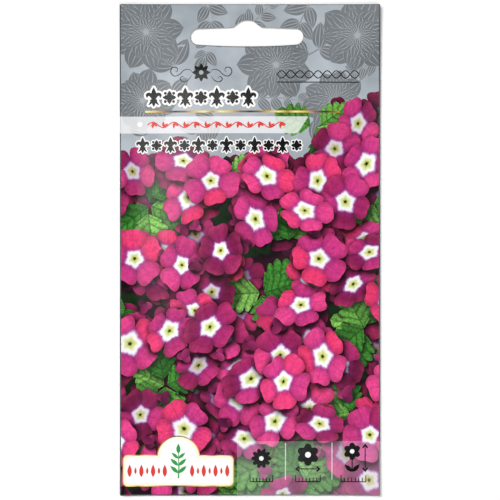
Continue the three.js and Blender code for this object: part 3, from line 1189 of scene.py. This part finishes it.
def motifPaint(place):
    # a dark blade with a pale rim, a midrib and two side veins, all of one line width
    tree = place.tree
    x, y = spotOf(tree)
    width, size, swell = (attribute(tree, name) for name in ("tone", "depth", "seed"))
    size *= header["sizeUnit"]
    aside = abs(y)
    along = wire(tree, "ShaderNodeClamp", {0: x})
    half = maths("MAXIMUM", maths("SINE", along ** swell * math.pi), 0.0) ** header["roundness"] * width

    def lineAt(gap):
        return mapped(gap * size, engraving["line"], engraving["softLine"], 1.0, 0.0)

    lines = lineAt(half - aside)
    for gap in (aside, abs(aside - half * 0.5)):
        lines = maths("MAXIMUM", lines, lineAt(gap) * engraving["veinStrength"])
    ground = plain(*engraving["ground"])(place)
    return blend(lines * mapped(x, *engraving["tipFade"]), ground, engraving["pale"])


# the dark and bright bands along the gold rule are a painted sheen of metal
def goldPaint(place):
    band = maths("PINGPONG", apart(place)[0] * (1 / (goldInk["band"] * mm)), 0.5)
    return ramp(band * 2.0, goldInk["body"])


def plain(code, second=None):
    def paint(place):
        return ramp(noiseOf(place, laminate["inkScale"], 3.0), [(0.35, code), (0.65, second or code)])
    return paint


paints = {
    "paper": plain("EFEDE8", "F6F4F0"),
    "header": plain("949CA3", "B3BAC1"),
    "motif": motifPaint,
    "motifLine": plain("A2A8AC"),
    "gap": gapPaint,
    "petal": petalPaint,
    "bud": budPaint,
    "leaf": leafPaint,
    "black": plain("07090B"),
    "white": plain("F4F3F1"),
    "gold": goldPaint,
    "cream": plain("FAF3D8"),
    "plateWhite": plain("FAFAF8"),
    "red": plain("D8403A"),
    "sprig": plain("2F9A4A"),
    "cutEdge": plain("7C7E7C", "929492"),
    "magenta": plain("D23A7E"),
    # the dark grey of the painted edge shade along the rims
    "rimShade": plain("40464A", "585C60"),
}
inks = list(paints)
bare = {"paper": "paperCore", "cutEdge": "cutEdgePaper"}  # paper without a film, which is duller
inkMaterials = {}
for ink, paint in paints.items():
    rough = laminate["paperRoughness" if ink in bare else "roughness"]
    inkMaterials[ink] = makeInk(bare.get(ink, ink + "Ink"), paint, rough)


# the back's print: ruled boxes, a calendar of twelve cells and small ornaments, with no lettering
backPrint = {
    "headerBottom": 43.0, "headerLine": 0.6, "frame": (-34.0, -66.5, 34.0, 38.5), "line": 0.28,
    "row": {"left": -20, "bottom": 30.0, "pitch": 8, "count": 6, "size": 5.0, "halo": 0.0},
    "calendar": {
        "left": -30.5, "right": 30.5, "bottom": 14.5, "top": 26.0, "months": 12, "barHalf": 1.2,
        "bars": ((17.9, 3, 5, "sprig"), (21.6, 5, 10, "magenta")),  # level, start, end, ink
    },
    "rules": {"left": -30.5, "right": 30.5, "short": 38, "top": 9.0, "step": 4.1, "count": 9,
              "half": 0.13},
    "stampBox": (-30.5, -62.5, -3.0, -36.0),
    "sowing": {"places": ((9.0, -38.5), (24.0, -38.5)), "radius": 6.0, "ground": (-4.2, -2.4, 4.2, -2.0)},
    "bouquet": ((11.5, -56.0, 5.6, 0.1), (22.0, -54.5, 6.2, 0.0), (17.0, -58.0, 6.0, 0.0)),
    "bouquetMiddle": (16.8, -56.0),
    "bouquetLeaves": ((2.9, 9.5), (0.3, 9.5), (1.9, 7.5), (-1.2, 6.5), (3.7, 8.0)),  # way, length
}


def drawFrame(left, bottom, right, top, corner, ink):
    line = backPrint["line"]
    lay(box(left, bottom, right, top, corner), ink)
    lay(box(left + line, bottom + line, right - line, top - line, max(corner - line, 0.1)), "plateWhite")


def drawCalendar():
    s = backPrint["calendar"]
    pitch = (s["right"] - s["left"]) / s["months"]
    drawFrame(s["left"], s["bottom"], s["right"], s["top"], 0.4, "motif")
    for level, first, last, ink in s["bars"]:
        left, right = s["left"] + pitch * first, s["left"] + pitch * last
        lay(box(left, level - s["barHalf"], right, level + s["barHalf"], 1.15), ink)
    for k in range(1, s["months"]):
        x = s["left"] + pitch * k
        lay(box(x - 0.09, s["bottom"], x + 0.09, s["top"]), "motif")


def drawRules():
    # every fourth line is short, as at the end of a paragraph
    s = backPrint["rules"]
    for k in range(s["count"]):
        y = s["top"] - s["step"] * k
        right = s["right"] if k % 4 != 3 else s["left"] + s["short"]
        lay(box(s["left"], y - s["half"], right, y + s["half"]), "motifLine")
        lay(lancet(0.5, 5), "sprig", at(s["left"] - 0.1, y + 1.2, 0, 1.5))


def drawSowing():
    # a seedling, and two seeds that drop into the soil
    s = backPrint["sowing"]
    for x, y in s["places"]:
        lay(ellipse(s["radius"], count=36), "sprig", at(x, y))
        lay(ellipse(s["radius"] - backPrint["line"], count=36), "plateWhite", at(x, y))
        lay(box(*s["ground"]), "black", at(x, y))
    (x, y), (x2, y2) = s["places"]
    lay(ribbon([(0, -2.2), (0.1, 0), (0, 1.6)], 0.3), "sprig", at(x, y))
    for side in (-1, 1):
        lay(lancet(0.3), "sprig", at(x, y, math.pi / 2 - side * 0.9, 3.2))
        lay(lancet(0.4, 5), "black", at(x2 + side * 2.2 - 0.8, y2 - 1.2, 0.3, 1.6))
        drawArrow(x2 + side * 2.2, y2 + 3.6, x2 + side * 2.2, y2 + 0.2)


def drawBack():
    s = backPrint
    rng = random.Random(header["seed"] + 1)
    drawHeader(rng, -1)
    lay(box(-halfX - 1, -halfY - 1, halfX + 1, s["headerBottom"]), "plateWhite")
    lay(box(-halfX - 1, s["headerBottom"] - s["headerLine"], halfX + 1, s["headerBottom"]), "gold")
    drawFrame(*s["frame"], 2.5, "sprig")
    drawRow(s["row"], s["row"]["bottom"])
    drawCalendar()
    drawRules()
    drawFrame(*s["stampBox"], 1.2, "motif")
    middleX, middleY = s["bouquetMiddle"]
    for turn, size in s["bouquetLeaves"]:
        drawLeaf(rng, middleX + 2.5 * math.cos(turn), middleY + math.sin(turn), size, turn, 0.0, 0.7)
    for x, y, radius, depth in s["bouquet"]:
        drawBlossom(rng, x, y, radius, depth, 0.6)
    drawSowing()


def makePanel(name, printed, belly, raised, turned=False):
    panel = makeFlatSheet(name, printed, turned)
    runTree(panel, cushionTree, shapeSizes(belly, raised))
    panel.data.shade_smooth()
    panel.data.set_sharp_from_angle(angle=math.radians(packet["sharpAngle"]))  # the cut edges stay crisp
    return panel


drawHeader(random.Random(header["seed"]), 1)
drawPicture()
drawMarks()
frontPanel = makePanel("frontPanel", drawing, packet["belly"], packet["paper"])
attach(frontPanel, "root")
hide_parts("front_panel")
print("front panel done")

drawing = []
drawBack()
backPanel = makePanel("backPanel", drawing, 0.0, 0.0, turned=True)
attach(backPanel, "root")
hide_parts("back_panel")
print("back panel done")

# ten seeds loose in the pouch
seeds = {
    "count": 10, "length": 3.4, "radius": 0.55, "ribs": 5.0, "ribDepth": 0.07, "taper": 0.22, "sides": 24,
    "rings": 18, "y": -48.0, "stretchX": 1.25, "stretchY": 0.9, "spacing": 2.6, "turn": 137.5,
    "lean": 52.0, "clearance": 0.05,
    "tints": ((0.3, "4A2E1C"), (0.55, "7A5232"), (0.75, "A07A4E")), "mottleScale": 900.0,
    "roughness": (0.55, 0.85), "pitScale": 3200.0, "pitBump": (0.6, 0.00006),
}


def seedTree(sizes):
    # one ribbed seed along X, put on the points of an opening spiral
    tree, size = newTree("seedScatter", sizes)
    ball = wire(tree, "GeometryNodeMeshUVSphere", {0: seeds["sides"], 1: seeds["rings"], 2: 1.0})
    x, y, z = apart(wire(tree, "GeometryNodeInputPosition"))
    rib = abs(maths("SINE", maths("ARCTAN2", y, x) * size["Ribs"])) * size["Rib Depth"]
    thick = (1.0 - (z + 1.0) * (size["Taper"] * 0.5)) * (1.0 - rib) * size["Radius"]
    bent = together(tree, z * (size["Length"] * 0.5), x * thick, y * thick)
    seed = wire(tree, "GeometryNodeSetPosition", {"Geometry": ball, "Position": bent})
    number = wire(tree, "GeometryNodeInputIndex")
    reach = maths("SQRT", number + 0.5) * size["Spacing"]
    way = number * size["Turn"]
    spotX = maths("COSINE", way) * reach * size["Stretch X"]
    spotY = maths("SINE", way) * reach * size["Stretch Y"] + size["Middle Y"]
    place = together(tree, spotX, spotY, size["Rest Height"])
    points = wire(tree, "GeometryNodePoints", {"Count": seeds["count"], "Position": place})
    given = {"Points": points, "Instance": seed, "Rotation": together(tree, z=number * size["Lean"])}
    scattered = wire(tree, "GeometryNodeInstanceOnPoints", given)
    scattered = wire(tree, "GeometryNodeRealizeInstances", {0: scattered})
    scattered = wire(tree, "GeometryNodeSetMaterial", {"Geometry": scattered, "Material": seedCoat})
    addNode(tree, "NodeGroupOutput", {0: scattered})
    return tree


def makeSeedCoat():
    material, tree, place = newMaterial("seedCoat")
    mottle = noiseOf(place, seeds["mottleScale"], 4.0)
    pits = wire(tree, "ShaderNodeTexVoronoi", {"Vector": place, "Scale": seeds["pitScale"]}, "Distance")
    endMaterial(tree, {
        "Base Color": ramp(mottle, seeds["tints"]), "Normal": bumpOf(pits, *seeds["pitBump"]),
        "Roughness": mapped(mottle, 0.2, 0.8, *seeds["roughness"])})
    return material


seedCoat = makeSeedCoat()
looseSeeds = addObject("looseSeeds", bpy.data.meshes.new("looseSeeds"))
runTree(looseSeeds, seedTree, {
    "Length": seeds["length"] * mm, "Radius": seeds["radius"] * mm, "Ribs": seeds["ribs"],
    "Rib Depth": seeds["ribDepth"], "Taper": seeds["taper"], "Middle Y": seeds["y"] * mm,
    "Stretch X": seeds["stretchX"], "Stretch Y": seeds["stretchY"], "Spacing": seeds["spacing"] * mm,
    "Turn": math.radians(seeds["turn"]), "Lean": math.radians(seeds["lean"]),
    "Rest Height": (packet["paper"] + seeds["clearance"] + seeds["radius"]) * mm,
})
looseSeeds.data.shade_smooth()
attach(looseSeeds, "root")
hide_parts(*["seed_%02d" % (k + 1) for k in range(seeds["count"])])
print("seeds done")

room = {
    "floorHalf": 1.5, "floor": (0.97, 0.97, 0.97, 1), "floorRoughness": 0.9,
    "lamps": [((-0.70, 0.56, 1.42), 0.9, 24.2), ((0.42, -0.87, 1.22), 0.8, 8.0)],  # place, size, watts
    "sky": ((0.0, 0.86), (0.10, 0.86), (0.30, 0.42), (0.60, 0.16), (1.0, 0.09)),  # sine of height, light
}
floorMesh = bpy.data.meshes.new("floor")
half = room["floorHalf"]
floorMesh.from_pydata([(x, y, 0) for x, y in box(-half, -half, half, half)], [], [(0, 1, 2, 3)])
floorPaint = bpy.data.materials.new("floorPaint")
floorPaint.use_nodes = True
floorInputs = floorPaint.node_tree.nodes["Principled BSDF"].inputs
floorInputs["Base Color"].default_value = room["floor"]
floorInputs["Roughness"].default_value = room["floorRoughness"]
floorMesh.materials.append(floorPaint)
floor = addObject("floor", floorMesh)

# the sky is brightest at the horizon, so that the film mirrors a dim ceiling
world = bpy.data.worlds.new("softRoom")
world.use_nodes = True
sky = world.node_tree
up = apart(wire(sky, "ShaderNodeTexCoord", output="Generated"))[2]
glow = addNode(sky, "ShaderNodeValToRGB", {0: up})
for k, (height, light) in enumerate(room["sky"]):
    stop = glow.color_ramp.elements[k] if k < 2 else glow.color_ramp.elements.new(height)
    stop.position, stop.color = height, (light, light, light, 1)
sky.links.new(glow.outputs[0], sky.nodes["Background"].inputs[0])
bpy.context.scene.world = world
for place, size, energy in room["lamps"]:
    lamp = bpy.data.lights.new("softLamp", "AREA")
    lamp.size, lamp.energy = size, energy
    lampObject = addObject("softLamp", lamp)
    lampObject.location = place
    lampObject.rotation_euler = (-Vector(place)).to_track_quat("-Z", "Y").to_euler()

viewer = {"lens": 100.0, "sensor": 36.0, "fieldWidth": 153.6, "level": 1.0}
camera = bpy.data.cameras.new("camera")
camera.lens, camera.sensor_width = viewer["lens"], viewer["sensor"]
cameraObject = addObject("camera", camera)
distance = viewer["fieldWidth"] * viewer["lens"] / viewer["sensor"]  # above the print's level
cameraObject.location = (0, 0, (distance + viewer["level"]) * mm)
bpy.context.scene.camera = cameraObject
bpy.context.scene.view_settings.view_transform = "Standard"
